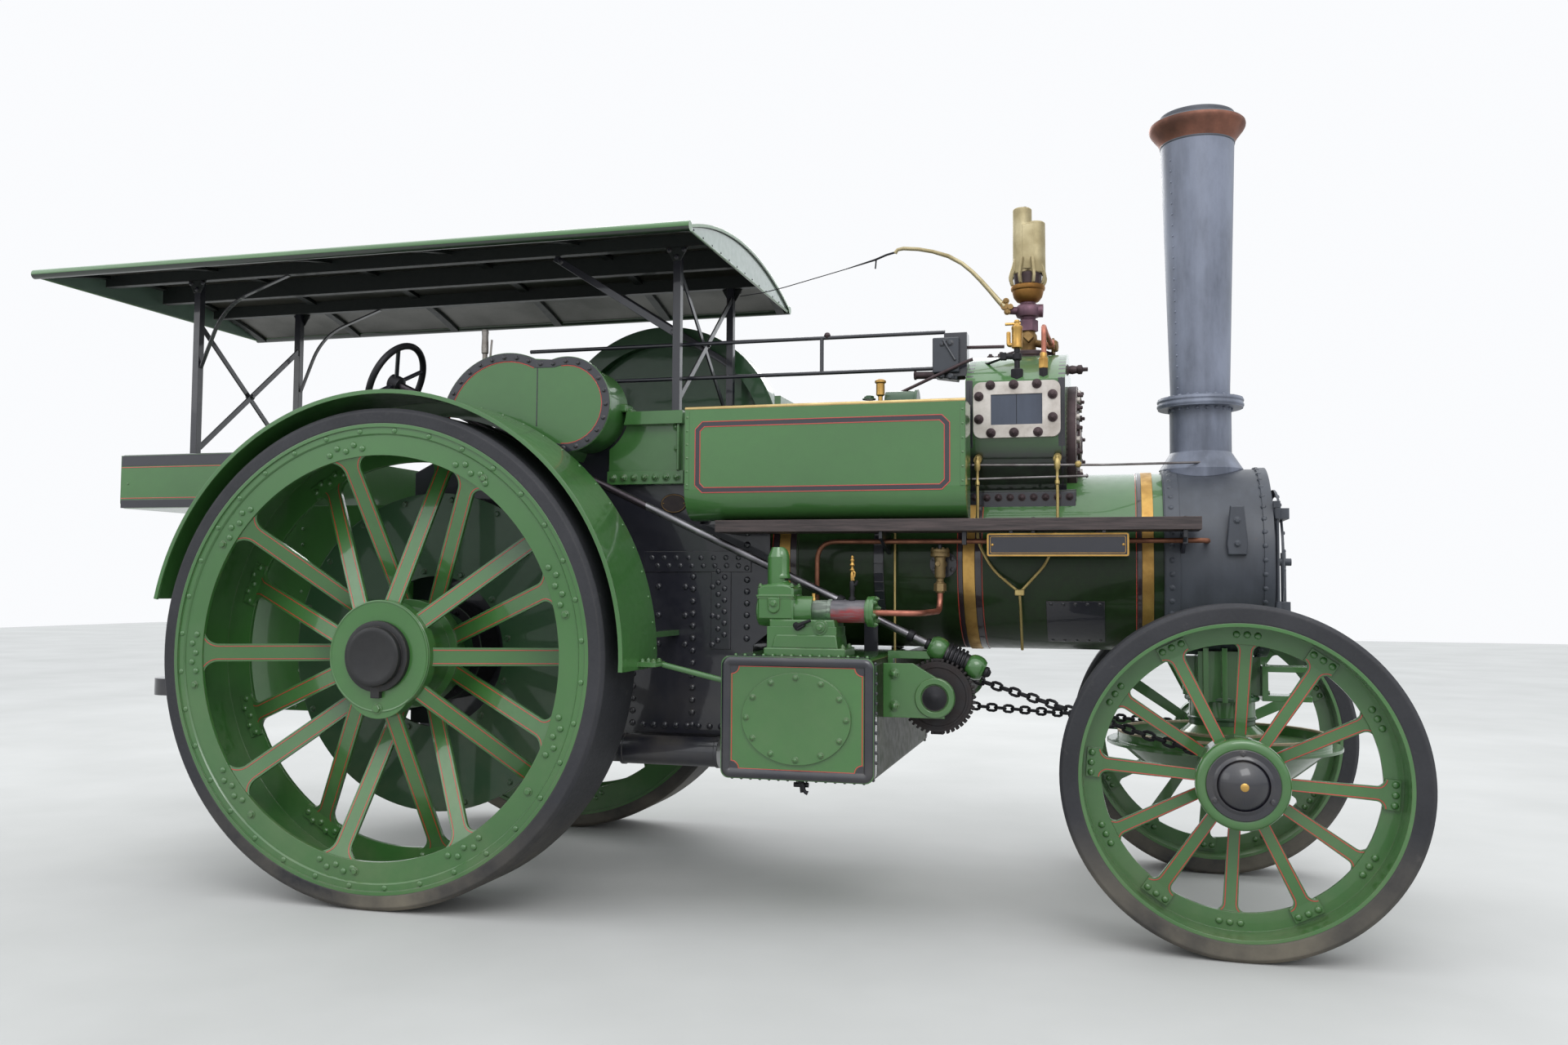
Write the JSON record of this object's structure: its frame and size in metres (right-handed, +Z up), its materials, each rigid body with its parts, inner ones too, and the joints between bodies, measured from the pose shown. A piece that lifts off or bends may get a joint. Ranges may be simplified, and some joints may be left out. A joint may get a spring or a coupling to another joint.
{
  "type": "steam traction engine",
  "caption": "Steam traction engine on spoked steel wheels with rubber tyres, canopy, tall chimney and chain steering.",
  "frame": {"origin": "on the ground, in the middle of the outline", "axes": "+X forward, +Y to the left, +Z up"},
  "size_m": [6.271, 2.238, 3.467],
  "materials": {
    "paint_green": "gloss mid green paint",
    "paint_dark_green": "gloss dark green paint",
    "paint_black": "gloss black paint",
    "smokebox_black": "worn heat-proof black",
    "steel": "oiled bare steel",
    "cast_iron": "dark greased iron",
    "brass": "tarnished brass",
    "copper": "heat-stained copper",
    "rubber": "worn solid rubber",
    "wood": "dark stained plank"
  },
  "bodies": {
    "chassis": {"belly_tank": "paint_green", "board_brackets": "paint_black", "boiler_barrel": "paint_green", "canopy_beams": "paint_dark_green", "canopy_braces": "paint_black", "canopy_posts": "paint_black", "canopy_roof": "paint_green", "chain_roller": "cast_iron", "chimney": "smokebox_black", "chimney_cap": "copper", "crosshead": "steel", "cylinder_block": "paint_green", "cylinder_covers": "steel", "drawbar": "paint_black", "drive_disc": "paint_dark_green", "feed_pipe": "copper", "feed_pump": "paint_green", "firebox": "paint_black", "gear_cover": "paint_green", "guard_struts": "paint_green", "handrails": "paint_black", "handwheel": "paint_black", "horn_cheek": "paint_green", "hornplates": "paint_black", "motion_bracket": "paint_green", "mudguard_left": "paint_green", "mudguard_right": "paint_green", "nameboards": "paint_black", "perch": "paint_green", "rear_axle": "steel", "reversing_lever": "steel", "roller_brackets": "paint_green", "running_boards": "wood", "safety_valve": "brass", "side_cover_left": "paint_green", "side_cover_right": "paint_green", "slide_bars": "steel", "smokebox": "smokebox_black", "steering_chains": "cast_iron", "steering_column": "steel", "tank_hangers": "paint_black", "tender": "paint_green", "tow_bracket": "paint_green"},
    "crank": {"crankshaft": "steel", "flywheel": "paint_dark_green"},
    "smokebox_door": {"smokebox_door": "smokebox_black"},
    "rear_wheel_right": {"rear_wheel_right": "paint_green", "rear_tyre_right": "rubber", "rear_hub_cap_right": "paint_black"},
    "rear_wheel_left": {"rear_wheel_left": "paint_green", "rear_tyre_left": "rubber", "rear_hub_cap_left": "paint_black"},
    "front_carriage": {"steering_ring": "paint_green", "front_axle": "paint_green"},
    "front_wheel_right": {"front_wheel_right": "paint_green", "front_tyre_right": "rubber", "front_hub_cap_right": "paint_black"},
    "front_wheel_left": {"front_wheel_left": "paint_green", "front_tyre_left": "rubber", "front_hub_cap_left": "paint_black"}
  },
  "joints": [
    {"name": "rear_wheel_right_spin", "type": "hinge", "parent": "chassis", "child": "rear_wheel_right", "pos_m": [-0.9885, 0, 1.056], "axis": [0, 1, 0], "continuous": true},
    {"name": "rear_wheel_left_spin", "type": "hinge", "parent": "chassis", "child": "rear_wheel_left", "pos_m": [-0.9885, 0, 1.056], "axis": [0, 1, 0], "continuous": true},
    {"name": "crank_spin", "type": "hinge", "parent": "chassis", "child": "crank", "pos_m": [-0.2985, 0, 2.11], "axis": [0, 1, 0], "continuous": true},
    {"name": "steering", "type": "hinge", "parent": "chassis", "child": "front_carriage", "pos_m": [2.4815, 0, 0.78], "axis": [0, 0, 1], "range_deg": [-20, 20]},
    {"name": "front_wheel_right_spin", "type": "hinge", "parent": "front_carriage", "child": "front_wheel_right", "pos_m": [2.4815, 0, 0.654], "axis": [0, 1, 0], "continuous": true},
    {"name": "front_wheel_left_spin", "type": "hinge", "parent": "front_carriage", "child": "front_wheel_left", "pos_m": [2.4815, 0, 0.654], "axis": [0, 1, 0], "continuous": true},
    {"name": "smokebox_door_swing", "type": "hinge", "parent": "chassis", "child": "smokebox_door", "pos_m": [2.6765, -0.352, 1.48], "axis": [0, 0, -1], "range_deg": [0, 90]}
  ]
}
